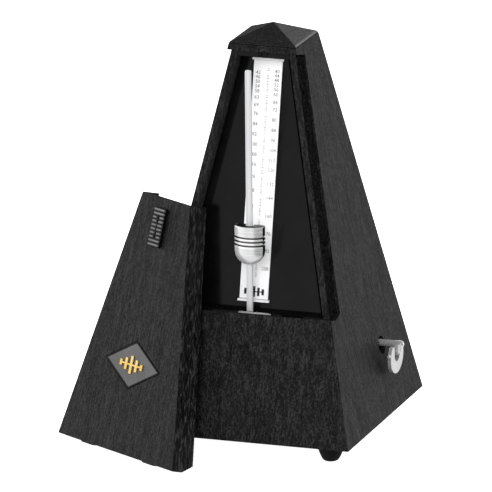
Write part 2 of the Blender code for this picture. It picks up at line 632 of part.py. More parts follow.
def build_weight(weight, mats):
    """The sliding weight, about its own middle."""
    top, groove, bottom_round = WEIGHT_LEN / 2, 0.7, 10
    levels = [(top, 0.4), (top - 0.4, 0.0)]
    for mark in (3.0, 1.0, -1.0):
        levels += [(mark, 0.0), (mark - 0.25, groove), (mark - 0.8, groove), (mark - 1.05, 0.0)]
    for i in range(bottom_round + 1):
        turn = math.pi / 2 * i / bottom_round
        levels.append((WEIGHT_DOME - (top + WEIGHT_DOME) * math.sin(turn), 0.0))
    made = loft([weight_section(z, shrink) for z, shrink in reversed(levels)])
    body = add("sliding_weight", made, mats["weight"], weight, smooth=True)
    near = ROD_T / 2 + GAP
    boolean(body, box((-ROD_W / 2 - GAP, -near, -20), (ROD_W / 2 + GAP, WEIGHT_BACK + 1, 20)))
    bow = [(near + 1.0, 7.0), (near, 0.0), (near + 1.0, -7.0)]
    outline = bow + [(y + 0.5, z) for y, z in reversed(bow)]
    add("weight_spring", prism(outline, -1.4, 1.4, "X"), mats["blued"], weight)


# ---- key ----


def build_key(winding, wing, mats):
    """The winding key: a shaft with a round end and a lug, and a slotted wing pinned across the lug."""
    start, end = PLATE_X + 6 + GAP, KEY_END_X - KEY_SHAFT_R
    shoulder = start + SOCKET_LEN
    profile = [(start, SOCKET_R), (shoulder, SOCKET_R), (shoulder, KEY_SHAFT_R), (end, KEY_SHAFT_R)]
    for i in range(1, 6):
        turn = math.radians(16 * i)
        profile.append((end + KEY_SHAFT_R * math.sin(turn), KEY_SHAFT_R * math.cos(turn)))
    shaft = add("key_shaft", turned(profile, "X", 24), mats["chrome"], winding, smooth=True)
    boolean(shaft, prism(LUG, -LUG_HALF, LUG_HALF, "Y"), "UNION")
    bore = circle(PIN_R + PIN_BORE, (KEY_PIN_X, -KEY_PIN_DROP), 12)
    boolean(shaft, prism(bore, -4, 4, "Y"))

    turn_from = math.acos((ARM_OUTER + 0.9) / WING_HALF_W)
    sweep = math.pi + 2 * turn_from
    outline = []
    for i in range(33):
        t = turn_from - sweep * i / 32
        outline.append((WING_HALF_W * math.cos(t), -WING_DROP + WING_HALF_H * math.sin(t)))
    arm = [(ARM_INNER, WING_TOP - 1.2), (ARM_MIDDLE, WING_TOP - 0.2), (ARM_OUTER, WING_TOP)]
    outline += [(-y, z) for y, z in reversed(arm)]
    for i in range(9):
        t = math.pi * (1 + i / 8)
        outline.append((ARM_INNER * math.cos(t), ARM_INNER - WING_SLOT_LOW + ARM_INNER * math.sin(t)))
    outline += arm
    plate = add("key_wing", prism(outline, -WING_T / 2, WING_T / 2, "X"), mats["chrome"], wing)
    boolean(plate, prism(circle(PIN_R + PIN_BORE, sides=12), -20, 20, "Y"))
    rim = -WING_HALF_W + 0.1
    pin = [(rim - 2.1, 0.5), (rim - 1.8, PIN_HEAD_R), (rim, PIN_HEAD_R), (rim, PIN_R), (9.3, PIN_R)]
    pin = turned(pin, "Y", 12)
    add("key_pin", pin, mats["chrome"], wing, smooth=True)


# ---- cover ----


def build_lid(lid, mats):
    shell = add("lid_shell", lid_block(seat_profile(0), 0), mats["case"], lid)
    far = FLANGE_LOW + 2
    hollow = [(LID_FACE, -2), (far, -2), (far, LID_LENGTH + 2), (LID_FACE, LID_LENGTH + 2)]
    boolean(shell, lid_block(hollow, LID_FLANGE))
    for side in (-1, 1):
        low = (side * TAB_X - TAB_HALF, LID_FACE - 0.6, -TAB_DROP)
        high = (side * TAB_X + TAB_HALF, LID_FACE + TAB_T, 3.0)
        boolean(shell, box(low, high), "UNION")
    rhombus = [(-1, 0), (0, -1), (1, 0), (0, 1)]
    w, h = BADGE_HALF_W + GAP, BADGE_HALF_H + GAP
    pocket = [(x * w, BADGE_UP + z * h) for x, z in rhombus]
    boolean(shell, prism(pocket, -1, BADGE_T, "Y"))

    plate = [(x * BADGE_HALF_W, z * BADGE_HALF_H) for x, z in rhombus]
    spot = (0, 0, BADGE_UP)
    add("lid_badge", prism(plate, -GAP, BADGE_T - GAP, "Y"), mats["badge"], lid, spot)
    upper = []
    for i, height in enumerate(BARS):
        left, right = (i - 2) * BAR_PITCH - BAR_HALF, (i - 2) * BAR_PITCH + BAR_HALF
        upper += [(left, BAR_LINE), (left, height), (right, height), (right, BAR_LINE)]
    outline = upper + [(x, -z) for x, z in reversed(upper)]
    add("badge_ornament", prism(outline, -1.0, -0.6, "Y"), mats["gold"], lid, spot)

    pitch, valley = GRIP_H / RIBS, RIB_DEPTH - GRIP_OUT
    profile = [(-GAP, 0.0), (-GAP, -GRIP_H)]
    for i in range(RIBS):
        low = i * pitch - GRIP_H
        high = low + pitch * RIB_SHARE
        profile += [(-GRIP_OUT, low), (-GRIP_OUT, high), (valley, high), (valley, low + pitch)]
    profile[-3:] = [(-GRIP_OUT, 0.0)]
    grip = prism(profile, -GRIP_W / 2, GRIP_W / 2, "X")
    add("lid_grip", grip, mats["grip"], lid, (0, 0, LID_LENGTH - GRIP_TOP))


# ---- assembly ----


def empty(name, parent, origin=(0, 0, 0)):
    made = bpy.data.objects.new(name, None)
    bpy.context.scene.collection.objects.link(made)
    made.parent = parent
    made.location = Vector(origin) * MM
    made.empty_display_size = 0.01
    return made


def stand_lid(lid):
    """Turns and leans the cover, then sets its lowest corner on the floor."""
    turn = Matrix.Rotation(math.radians(LID_YAW), 4, "Z") @ Matrix.Rotation(math.radians(LID_LEAN), 4, "X")
    corners = [Vector((0, y, z)) for y, z in seat_profile(0)]
    corners.append(Vector((0, LID_FACE + TAB_T, -TAB_DROP)))
    lowest = min((turn @ corner).z for corner in corners)
    lid.matrix_local = Matrix.Translation(Vector((LID_X, LID_Y, -lowest)) * MM) @ turn


def centre_on_floor(root):
    """Moves the whole so that its box is centred on the origin's vertical."""
    bpy.context.view_layer.update()
    nodes = [o for o in bpy.data.objects if o.type == "MESH" and not o.hide_render]
    corners = [o.matrix_world @ v.co for o in nodes for v in o.data.vertices]
    for axis in (0, 1):
        values = [corner[axis] for corner in corners]
        root.location[axis] -= (min(values) + max(values)) / 2


def main():
    for old in list(bpy.data.objects):
        bpy.data.objects.remove(old, do_unlink=True)
    mats = {
        "case": make_material("black_wood_grain", (0.020, 0.020, 0.021), 0.45, 0.0),
        "base": make_material("black_board", (0.015, 0.015, 0.015), 0.7, 0.0),
        "dial": make_material("gloss_black", (0.008, 0.008, 0.009), 0.15, 0.0),
        "scale": make_material("white_scale", (0.86, 0.86, 0.87), 0.35, 0.0),
        "grip": make_material("grip_black", (0.010, 0.010, 0.010), 0.4, 0.0),
        "badge": make_material("badge_grey", (0.13, 0.13, 0.135), 0.35, 0.6),
        "gold": make_material("ornament_gold", (0.75, 0.52, 0.12), 0.3, 1.0),
        "rubber": make_material("rubber", (0.012, 0.012, 0.012), 0.85, 0.0),
        "steel": make_material("steel", (0.62, 0.62, 0.63), 0.3, 1.0),
        "blued": make_material("spring_steel", (0.16, 0.18, 0.24), 0.3, 1.0),
        "brass": make_material("brass", (0.72, 0.55, 0.24), 0.3, 1.0),
        "rod": make_material("rod_steel", (0.70, 0.70, 0.71), 0.3, 1.0),
        "weight": make_material("turned_aluminium", (0.74, 0.74, 0.75), 0.3, 1.0),
        "iron": make_material("cast_iron", (0.09, 0.09, 0.09), 0.6, 0.8),
        "chrome": make_material("chrome", (0.80, 0.80, 0.81), 0.12, 1.0),
    }
    root = empty("metronome", None)
    case = empty("case_frame", root, (0, 0, FOOT_H))
    build_case(case, mats)
    build_feet(case, mats)
    build_dial(case, mats)
    build_frame(case, mats)
    build_barrel(empty("barrel_axis", case, (0, *WIND)), mats)
    winding = empty("winding_axis", case, (0, *WIND))
    click = empty("click_axis", case, (0, *CLICK_PIVOT))
    build_winding(winding, click, case, mats)
    middle = empty("middle_axis", case, (0, *MIDDLE))
    build_train(middle, empty("escape_axis", case, (0, *ESCAPE)), case, mats)
    pendulum = empty("pendulum_axis", case, (0, 0, PIVOT_H))
    build_pendulum(pendulum, case, mats)
    build_weight(empty("weight_middle", pendulum, (0, ROD_Y, WEIGHT_H - PIVOT_H)), mats)
    wing = empty("wing_axis", winding, (KEY_PIN_X, 0, -KEY_PIN_DROP))
    build_key(winding, wing, mats)
    lid = empty("lid_frame", root)
    build_lid(lid, mats)
    stand_lid(lid)
    centre_on_floor(root)


main()
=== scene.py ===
"""Looks of the wind-up metronome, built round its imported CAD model.

X is the width, -Y the front and Z up, with the floor at Z = 0. Sizes are in metres, apart from
those of the finer pieces, which are meshed in millimetres and scaled by piece().
"""

import json
import math

import bmesh
import bpy
from mathutils import Matrix, Vector


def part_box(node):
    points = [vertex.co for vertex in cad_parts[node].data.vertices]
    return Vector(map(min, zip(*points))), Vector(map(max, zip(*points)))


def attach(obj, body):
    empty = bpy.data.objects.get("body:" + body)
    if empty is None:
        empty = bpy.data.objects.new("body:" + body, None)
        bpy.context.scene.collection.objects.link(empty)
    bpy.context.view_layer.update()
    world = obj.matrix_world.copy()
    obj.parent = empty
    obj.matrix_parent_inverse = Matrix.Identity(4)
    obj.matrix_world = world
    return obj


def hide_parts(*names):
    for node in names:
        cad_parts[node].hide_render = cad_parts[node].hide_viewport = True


MM = 0.001
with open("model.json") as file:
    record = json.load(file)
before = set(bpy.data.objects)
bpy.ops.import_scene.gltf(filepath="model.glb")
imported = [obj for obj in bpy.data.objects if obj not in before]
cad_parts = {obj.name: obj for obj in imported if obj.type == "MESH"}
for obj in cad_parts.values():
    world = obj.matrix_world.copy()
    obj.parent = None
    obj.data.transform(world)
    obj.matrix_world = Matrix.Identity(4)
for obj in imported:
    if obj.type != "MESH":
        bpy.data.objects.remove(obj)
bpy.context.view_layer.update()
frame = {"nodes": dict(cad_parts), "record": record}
nodes = frame["nodes"]


def middle(name):
    low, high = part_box(name)
    return (low + high) / 2


# the case's own sizes, as in the CAD: width at its lower and upper edge, height, and its feet's
CASE_W, TOP_W, CASE_H, FOOT_H = 117.0 * MM, 35.7 * MM, 194.6 * MM, 12.5 * MM
CASE_X, CASE_Y = middle("base_plate").xy
PIVOT_Z, ROD_HALF = FOOT_H + 45.8 * MM, 1.55 * MM
SCALE_T, EAVE, REBATE = 0.7 * MM, 0.5 * MM, 1.2 * MM

# how the cover stands: turned to the left and leaned back on the case
LID_TURN = Matrix.Rotation(math.radians(-30.6), 4, "Z") @ Matrix.Rotation(
    math.radians(-15.8), 4, "X"
)

# sliding weight, in millimetres: half width, then front, shoulder and back from the rod's middle
WEIGHT = (7.45, 4.5, 1.4, 2.4)
# tops of its grooves above its middle, their depth, and the distance from ridge to ridge
GROOVES, GROOVE_DEPTH, GROOVE_PITCH = (5.0, 3.0, 1.0), 1.0, 2.0

# camera: direction in degrees, distance, lens and sensor, aimed left of the case's middle
AZIMUTH, ELEVATION, ROLL = 19.177, 15.734, -0.496
DISTANCE, LENS, SENSOR = 4.5, 652.0, 36.0
AIM = Vector((CASE_X - 13.917 * MM, CASE_Y - 4.84 * MM, 98.361 * MM))


# ---- materials ----


class Nodes:
    """A node tree, with short ways to add its nodes and link them."""

    def __init__(self, tree):
        self.tree = tree

    def feed(self, socket, value):
        """Gives an input a plain value, or links an output to it."""
        if isinstance(value, bpy.types.NodeSocket):
            self.tree.links.new(value, socket)
        else:
            socket.default_value = value

    def node(self, kind, settings=None, **inputs):
        made = self.tree.nodes.new(kind)
        for key, value in (settings or {}).items():
            setattr(made, key, value)
        for key, value in inputs.items():
            self.feed(made.inputs[key.replace("_", " ")], value)
        return made

    def pair(self, kind, operation, a, b):
        made = self.node(kind, {"operation": operation})
        self.feed(made.inputs[0], a)
        self.feed(made.inputs[1], b)
        return made.outputs

    def math(self, operation, a, b=0.0):
        return self.pair("ShaderNodeMath", operation, a, b)[0]

    def dot(self, a, b):
        return self.pair("ShaderNodeVectorMath", "DOT_PRODUCT", a, b)["Value"]


class Shader(Nodes):
    """A material's node tree, with the few kinds of node used here."""

    def __init__(self, name):
        self.material = bpy.data.materials.new(name)
        self.material.use_nodes = True
        super().__init__(self.material.node_tree)
        self.surface = self.tree.nodes["Principled BSDF"]
        # no piece has an origin of its own, so these are the frame's coordinates
        self.frame_place = self.place = self.node("ShaderNodeTexCoord").outputs["Object"]

    def set(self, **inputs):
        for key, value in inputs.items():
            self.feed(self.surface.inputs[key.replace("_", " ")], value)

    def axis(self, vector, letter):
        return self.node("ShaderNodeSeparateXYZ", Vector=vector).outputs[letter]

    def normal(self):
        return self.node("ShaderNodeNewGeometry").outputs["Normal"]

    def noise(self, scale, turn=(0, 0, 0), detail=3.0, roughness=0.55, distortion=0.0):
        """Noise at a scale per metre, given as one number or as one for each axis."""
        scale = scale if isinstance(scale, tuple) else (scale,) * 3
        place = self.node("ShaderNodeMapping", Vector=self.place, Scale=scale, Rotation=turn)
        made = self.node(
            "ShaderNodeTexNoise", Vector=place.outputs["Vector"], Scale=1.0, Detail=detail,
            Roughness=roughness, Distortion=distortion,
        )
        return made.outputs["Fac"]

    def ramp(self, value, *stops):
        """Stops are (position, number) or (position, (r, g, b))."""
        made = self.node("ShaderNodeValToRGB", Fac=value)
        points = made.color_ramp.elements
        while len(points) < len(stops):
            points.new(0.5)
        for point, (position, level) in zip(points, stops):
            point.position = position
            colour = level if isinstance(level, tuple) else (level,) * 3
            point.color = (*colour, 1)
        return made.outputs["Color"]

    def mix(self, share, a, b):
        """Colour a where the share is 0, and b where it is 1."""
        made = self.node("ShaderNodeMix", {"data_type": "RGBA"})
        self.feed(made.inputs[0], share)
        for socket, value in zip((made.inputs[6], made.inputs[7]), (a, b)):
            self.feed(socket, (*value, 1) if isinstance(value, tuple) else value)
        return made.outputs[2]

    def bump(self, height, distance, strength=0.6):
        made = self.node("ShaderNodeBump", Height=height, Strength=strength, Distance=distance)
        self.set(Normal=made.outputs["Normal"])


# black wood: how much of each pattern is in its grain, and where its three tones lie in that
FIBRES, FIGURE, MOTTLE = 0.34, 0.22, 0.44
GRAIN_STOPS = (0.39, 0.49, 0.59)
WOOD_SPECULAR = 0.18
CASE_TONES, LID_TONES = (0.0010, 0.0050, 0.024), (0.0028, 0.0092, 0.021)
# paler tones for the walls that face the case's middle: painted light
INNER_WALL_PAINTED_LIGHT_TONES = (0.008, 0.028, 0.080)
# the least cosine between a normal and a direction that it's said to face
FACES = 0.7


def case_inset(s):
    """How far a point of the case lies inside its side planes, as a shader value in metres."""
    across = s.math("ABSOLUTE", s.math("SUBTRACT", s.axis(s.frame_place, "X"), CASE_X))
    slope = (CASE_W - TOP_W) / 2 / CASE_H
    narrowing = s.math("MULTIPLY", s.axis(s.frame_place, "Z"), slope)
    half = s.math("SUBTRACT", CASE_W / 2 + FOOT_H * slope, narrowing)
    return s.math("SUBTRACT", half, across)


def slanted_flange(s, tone, along):
    """The tone, with a coarser slanted grain on the flanges, which face along a direction."""
    on_flange = s.math("GREATER_THAN", s.math("ABSOLUTE", s.dot(s.normal(), along)), FACES)
    turn = (0, math.radians(32), math.radians(20))
    slanted = s.noise((900, 900, 110), turn, detail=4, distortion=0.6)
    return s.mix(on_flange, tone, s.ramp(slanted, (0.40, 0.002), (0.52, 0.007), (0.66, 0.034)))


def shaded_walls(s, tone, mixed, mottle):
    """Paler inner walls as painted light, black matt rebates with painted shade: tone, specular.
    """
    side = s.math("SIGN", s.math("SUBTRACT", s.axis(s.frame_place, "X"), CASE_X))
    outwards = s.math("MULTIPLY", s.axis(s.normal(), "X"), side)
    # the walls that face the case's middle are made paler: painted light
    inner_wall = s.math("LESS_THAN", outwards, -FACES)
    tone = s.mix(inner_wall, tone, s.ramp(mixed, *zip(GRAIN_STOPS, INNER_WALL_PAINTED_LIGHT_TONES)))
    # the rebates are made near black and without gloss: a darker bare finish, deepened with
    # painted shade
    outer_wall = s.math("GREATER_THAN", outwards, FACES)
    inset = s.math("GREATER_THAN", case_inset(s), REBATE)
    rebate = s.math("MULTIPLY", outer_wall, inset)
    tone = s.mix(rebate, tone, s.ramp(mottle, (0.45, 0.0006), (0.66, 0.014)))
    return tone, s.math("MULTIPLY", s.math("SUBTRACT", 1.0, rebate), WOOD_SPECULAR)


def black_wood(name, turn, tones, wave, case=False, flange=None):
    """Black open-pored wood: fine fibres along the grain, a broad figure and a mottle."""
    s = Shader(name)
    s.place = s.node("ShaderNodeMapping", Vector=s.place, Rotation=turn).outputs["Vector"]
    fibres = s.noise((1200, 1200, 210), roughness=0.65)
    figure = s.noise((300, 300, 20), detail=4, distortion=wave)
    mottle = s.noise((1300, 1300, 800), roughness=0.7)
    mixed = s.math("ADD", s.math("MULTIPLY", fibres, FIBRES), s.math("MULTIPLY", figure, FIGURE))
    mixed = s.math("ADD", mixed, s.math("MULTIPLY", mottle, MOTTLE))
    tone, specular = s.ramp(mixed, *zip(GRAIN_STOPS, tones)), WOOD_SPECULAR
    if flange is not None:
        tone = slanted_flange(s, tone, flange)
    if case:
        tone, specular = shaded_walls(s, tone, mixed, mottle)
    s.set(
        Base_Color=tone,
        Roughness=s.ramp(mixed, (0.38, 0.62), (0.62, 0.46)),
        Specular_IOR_Level=specular,
    )
    s.bump(mixed, 0.0005, 0.7)
    return s.material


def lacquer(name, tones, roughness, bump=0.00002, specular=0.5):
    """Smooth dark lacquer or moulding, with faint clouding and a fine surface."""
    s = Shader(name)
    cloud = s.noise(60)
    fine = s.noise(1400, detail=2)
    s.set(
        Base_Color=s.ramp(cloud, (0.35, tones[0]), (0.65, tones[1])),
        Roughness=s.ramp(cloud, (0.3, roughness[0]), (0.7, roughness[1])),
        Specular_IOR_Level=specular,
    )
    s.bump(fine, bump)
    return s.material


def roof_board(name):
    """The roof's black board, sanded and speckled, with a painted highlight on its right eave."""
    highlight_band, highlight_share, highlight_tone = 0.55 * MM, 0.8, (0.10, 0.10, 0.10)
    s = Shader(name)
    grit = s.noise(950, roughness=0.75)
    # a pale band along the eave on the faces turned to the right: a painted highlight
    eave_z = FOOT_H + CASE_H + EAVE
    from_eave = s.math("ABSOLUTE", s.math("SUBTRACT", s.axis(s.place, "Z"), eave_z))
    fading = s.ramp(s.math("DIVIDE", from_eave, highlight_band), (0.4, 1.0), (1.0, 0.0))
    to_right = s.math("GREATER_THAN", s.axis(s.normal(), "X"), 0.2)
    wear_and_highlight = s.math("MULTIPLY", s.math("MULTIPLY", fading, highlight_share), to_right)
    black = s.ramp(grit, (0.40, 0.0015), (0.52, 0.005), (0.64, 0.024))
    s.set(
        Base_Color=s.mix(wear_and_highlight, black, highlight_tone),
        Roughness=s.ramp(grit, (0.4, 0.5), (0.62, 0.38)),
    )
    s.bump(grit, 0.00022, 0.7)
    return s.material


def metal(name, dark, light, roughness, grain=900, bump=0.000012, metallic=1.0):
    """Bare metal with a fine grain and light tarnish."""
    s = Shader(name)
    lines = s.noise(grain, roughness=0.6)
    cloud = s.noise(110)
    s.set(
        Base_Color=s.mix(s.ramp(cloud, (0.35, 0.0), (0.7, 1.0)), dark, light),
        Roughness=s.ramp(lines, (0.3, roughness[0]), (0.7, roughness[1])),
        Metallic=metallic,
    )
    s.bump(lines, bump)
    return s.material


def rubber(name):
    """Dull black rubber, a little dusty."""
    s = Shader(name)
    fine = s.noise(1800)
    dust = s.noise((160, 160, 60), detail=4)
    s.set(
        Base_Color=s.ramp(dust, (0.4, 0.0018), (0.75, 0.007)),
        Roughness=s.ramp(dust, (0.3, 0.6), (0.7, 0.8)),
        Specular_IOR_Level=0.15,
    )
    s.bump(fine, 0.00005, 0.7)
    return s.material


def scale_white(name):
    """Printed white plate, a little uneven."""
    s = Shader(name)
    cloud = s.noise((45, 45, 22))
    fine = s.noise((1600, 1600, 500), detail=2)
    s.set(
        Base_Color=s.ramp(cloud, (0.3, (0.86, 0.86, 0.87)), (0.7, (0.93, 0.93, 0.935))),
        Roughness=s.ramp(fine, (0.3, 0.36), (0.7, 0.48)),
    )
    s.bump(fine, 0.00001, 0.4)
    return s.material


def ink(name, level):
    """Printing ink, paler where it is worn."""
    s = Shader(name)
    wear_and_highlight = s.noise(900)
    s.set(
        Base_Color=s.ramp(wear_and_highlight, (0.35, level), (0.75, level * 1.8)),
        Roughness=s.ramp(wear_and_highlight, (0.3, 0.5), (0.7, 0.65)),
    )
    return s.material


def weight_metal(name):
    """Turned aluminium: ridges with a painted highlight; grooves, right side and top in painted
    shade.
    """
    # a painted highlight for the ridges, painted shade for the grooves, and painted shade for the
    # right side and top
    ridge_highlight, groove_shade, cut = (0.98, 0.98, 0.98), (0.20, 0.20, 0.205), (0.02, 0.02, 0.02)
    s = Shader(name)
    rings = s.noise((40, 40, 1900), roughness=0.6)
    from_middle = s.math("SUBTRACT", s.axis(s.place, "Z"), middle("sliding_weight").z)
    up = s.math("DIVIDE", from_middle, MM)
    above = s.math("GREATER_THAN", up, GROOVES[-1] - GROOVE_PITCH)
    banded = s.math("MULTIPLY", above, s.math("LESS_THAN", up, GROOVES[0] + 0.1))
    from_lowest = s.math("SUBTRACT", up, GROOVES[-1] - 2 * GROOVE_PITCH)
    turn = s.math("FRACT", s.math("DIVIDE", from_lowest, GROOVE_PITCH))
    # in the band, the ridges get a painted highlight and the grooves between them painted shade
    groove = s.ramp(turn, (0.49, 0.0), (0.56, 1.0), (0.94, 1.0), (1.0, 0.0))
    plain = s.ramp(rings, (0.3, (0.70, 0.70, 0.71)), (0.7, (0.86, 0.86, 0.87)))
    tone = s.mix(banded, plain, s.mix(groove, ridge_highlight, groove_shade))
    # faces turned to the right and to the top are made near black: painted shade
    normal = s.normal()
    to_side_or_top = s.math("MAXIMUM", s.axis(normal, "X"), s.axis(normal, "Z"))
    tone = s.mix(s.math("GREATER_THAN", to_side_or_top, 0.92), tone, cut)
    s.set(Base_Color=tone, Metallic=0.6, Roughness=s.ramp(rings, (0.3, 0.2), (0.7, 0.3)))
    s.bump(rings, 0.000008)
    return s.material


def rod_metal(name):
    """Rolled spring-steel strip, a shallow channel along it, with painted shade on its lines and
    edges.
    """
    s = Shader(name)
    from_middle = s.math("SUBTRACT", s.axis(s.place, "X"), middle("pendulum_rod").x)
    across = s.math("DIVIDE", s.math("ABSOLUTE", from_middle), ROD_HALF)
    lines = s.noise((2600, 2600, 120))
    # the channel's lines and the strip's edges are drawn darker as painted shade; the same mask
    # gives the channel's bump
    channel_and_shade = s.ramp(across, (0.38, 0.0), (0.50, 1.0), (0.66, 0.25), (0.86, 0.0), (0.96, 1.0))
    tone = s.mix(channel_and_shade, (0.66, 0.66, 0.67), (0.50, 0.50, 0.51))
    s.set(Base_Color=tone, Metallic=0.35, Roughness=s.ramp(lines, (0.3, 0.36), (0.7, 0.5)))
    s.bump(s.math("ADD", channel_and_shade, s.math("MULTIPLY", lines, 0.1)), 0.00003, 0.5)
    return s.material


LID_ACROSS = LID_TURN.col[0].to_3d()
LID_GRAIN = tuple(LID_TURN.to_3x3().inverted().to_euler("XYZ"))
MATERIALS = {
    "case": black_wood("case_wood", (0, 0, 0), CASE_TONES, 0.6, case=True),
    "lid": black_wood("lid_wood", LID_GRAIN, LID_TONES, 1.8, flange=LID_ACROSS),
    "roof": roof_board("roof_board"),
    "base": lacquer("base_board", (0.010, 0.018), (0.6, 0.8), 0.00008),
    "dial": lacquer("dial_gloss", (0.0025, 0.0045), (0.14, 0.22), specular=0.25),
    "scale": scale_white("scale_white"),
    "grip": lacquer("grip_black", (0.0022, 0.0036), (0.28, 0.4), specular=0.2),
    # the ribs' paler grey, against the grip's black, is a painted highlight
    "rib": lacquer("grip_rib_highlight", (0.075, 0.115), (0.35, 0.5)),
    "badge": lacquer("badge_grey", (0.060, 0.078), (0.4, 0.5), specular=0.35),
    "rim": lacquer("badge_rim", (0.0015, 0.003), (0.3, 0.4), specular=0.2),
    "gold": metal(
        "ornament_gold", (0.66, 0.40, 0.08), (0.86, 0.60, 0.20), (0.25, 0.4), metallic=0.6
    ),
    "rubber": rubber("foot_rubber"),
    "steel": metal("steel", (0.42, 0.42, 0.43), (0.62, 0.62, 0.63), (0.24, 0.4)),
    "blued": metal("blued_steel", (0.07, 0.09, 0.17), (0.15, 0.18, 0.28), (0.25, 0.4)),
    "brass": metal("brass", (0.48, 0.33, 0.12), (0.74, 0.55, 0.24), (0.24, 0.38)),
    "rod": rod_metal("rod_metal"),
    "weight": weight_metal("turned_metal"),
    "iron": metal(
        "cast_iron", (0.035, 0.035, 0.036), (0.08, 0.08, 0.08), (0.5, 0.7), 1200, 0.00006
    ),
    "chrome": metal(
        "plated_steel", (0.78, 0.78, 0.79), (0.90, 0.90, 0.91), (0.10, 0.18), metallic=0.75
    ),
    "ink": ink("number_ink", 0.15),
    "mark": ink("motif_ink", 0.008),
}


# ---- the CAD nodes that stay ----

# width of the softened edge, in millimetres
SOFTENED = {
    "case_shell": 0.35, "lid_shell": 0.35, "roof_cap": 0.5, "key_wing": 0.3, "pendulum_rod": 0.2,
}
slot_of = {item["node"]: item["material_slot"] for item in frame["record"]["subparts"]}


def dress(name, material):
    mesh = nodes[name].data
    mesh.materials.clear()
    mesh.materials.append(MATERIALS[material])


def soften(name, width):
    """Rounds a CAD node's outer edges a little, as a modifier, without moving its faces."""
    node = nodes[name]
    weld = node.modifiers.new("weld", "WELD")
    weld.merge_threshold = 1e-6
    flat = node.modifiers.new("flat", "DECIMATE")
    flat.decimate_type = "DISSOLVE"
    flat.angle_limit = math.radians(1.0)
    bevel = node.modifiers.new("bevel", "BEVEL")
    bevel.width = width
    bevel.segments = 2
    bevel.limit_method = "ANGLE"
    bevel.angle_limit = math.radians(30)


for name in nodes:
    dress(name, slot_of[name])
dress("lid_shell", "lid")
dress("roof_cap", "roof")
for name, width in SOFTENED.items():
    soften(name, width * MM)


# ---- meshes for the finer pieces ----


def add_object(name, data):
    made = bpy.data.objects.new(name, data)
    bpy.context.scene.collection.objects.link(made)
    return made


def piece(name, bm, material, body, place=None, smooth=True, sharp=35):
    """One visible piece from a mesh in millimetres, put in place and riding on a body."""
    bmesh.ops.recalc_face_normals(bm, faces=bm.faces)
    bmesh.ops.scale(bm, vec=(MM, MM, MM), verts=bm.verts)
    if place is not None:
        bmesh.ops.transform(bm, matrix=place, verts=bm.verts)
    mesh = bpy.data.meshes.new(name)
    bm.to_mesh(mesh)
    bm.free()
    mesh.materials.append(MATERIALS[material])
    if smooth:
        mesh.shade_smooth()
        mesh.set_sharp_from_angle(angle=math.radians(sharp))
    made = add_object(name, mesh)
    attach(made, body)
    return made


def loft(rings, bm=None):
    """A closed body through rings of points, capped at both ends, added to bm."""
    bm = bm or bmesh.new()
    rows = [[bm.verts.new(point) for point in ring] for ring in rings]
    bm.faces.new(list(reversed(rows[0])))
    bm.faces.new(rows[-1])
    count = len(rows[0])
    for low, high in zip(rows, rows[1:]):
        for i in range(count):
            j = (i + 1) % count
            bm.faces.new((low[i], low[j], high[j], high[i]))
    return bm


def slab(outline, front, back):
    """An outline in (x, z), given depth from front to back."""
    return loft([[(x, y, z) for x, z in outline] for y in (front, back)])


def block(low, high):
    outline = [(low[0], low[2]), (high[0], low[2]), (high[0], high[2]), (low[0], high[2])]
    return slab(outline, low[1], high[1])


def turned(profile, sides=56):
    """A body of revolution about Z, through (height, radius) points."""
    turns = [math.tau * i / sides for i in range(sides)]
    return loft([[(r * math.cos(t), r * math.sin(t), z) for t in turns] for z, r in profile])


def carved(solid, cutter):
    """The solid with the cutter taken out, as a new mesh."""
    pair = []
    for bm in (solid, cutter):
        bmesh.ops.recalc_face_normals(bm, faces=bm.faces)
        mesh = bpy.data.meshes.new("temporary")
        bm.to_mesh(mesh)
        bm.free()
        pair.append(add_object("temporary", mesh))
    target, tool = pair
    target.modifiers.new("cut", "BOOLEAN").object = tool
    bpy.context.view_layer.update()
    result = bmesh.new()
    result.from_mesh(target.evaluated_get(bpy.context.evaluated_depsgraph_get()).to_mesh())
    for made in pair:
        bpy.data.objects.remove(made, do_unlink=True)
    return result


# ---- scale, in millimetres along and across its front ----

TEMPOS = (
    *range(40, 60, 2), *range(60, 72, 3), *range(72, 120, 4), *range(120, 144, 6),
    *range(144, 209, 8),
)
# the pendulum's law: gravity times (60 / pi) squared, and the moment of the lower side and the
# inertia of all but the weight, each over the weight's mass
GRAVITY, MOMENT, INERTIA = 3577, 0.144877, 0.0076128
# a digit's height, its share of the font's size, how far a number's middle is from the scale's
# middle, and the ink's thickness
DIGIT_H, DIGIT_SHARE, COLUMN_X, INK_T = 1.75, 0.7, 5.0, 0.03
# the column of dashes: where it starts and ends, its step, and the dashes in a word and a gap
DASH_START, DASH_MARGIN, DASH_STEP, WORD, WORD_GAP = 11, 3, 0.8, 11, 2
# the motif's upright bars: half heights, height of their middle, distance and half width, and
# the cross bar's half width and half height
BARS, BARS_Y, BAR_PITCH, BAR_HALF = (1.5, 2.1, 2.7, 2.1, 1.5), 3.6, 2.3, 0.62
CROSS_BAR = (5.4, 0.25)


def tempo_height(beats):
    """Height above the pivot of the weight's top edge at a tempo, in metres."""
    q = GRAVITY / beats**2
    return (math.sqrt(q * q + 4 * (q * MOMENT - INERTIA)) - q) / 2


def add_stroke(bm, x, y, half_w, half_h):
    """A thin printed stroke, centred on a point of the scale."""
    left, right, low, high = x - half_w, x + half_w, y - half_h, y + half_h
    corners = [(left, low), (right, low), (right, high), (left, high)]
    return loft([[(a, b, z) for a, b in corners] for z in (0.0, INK_T)], bm)


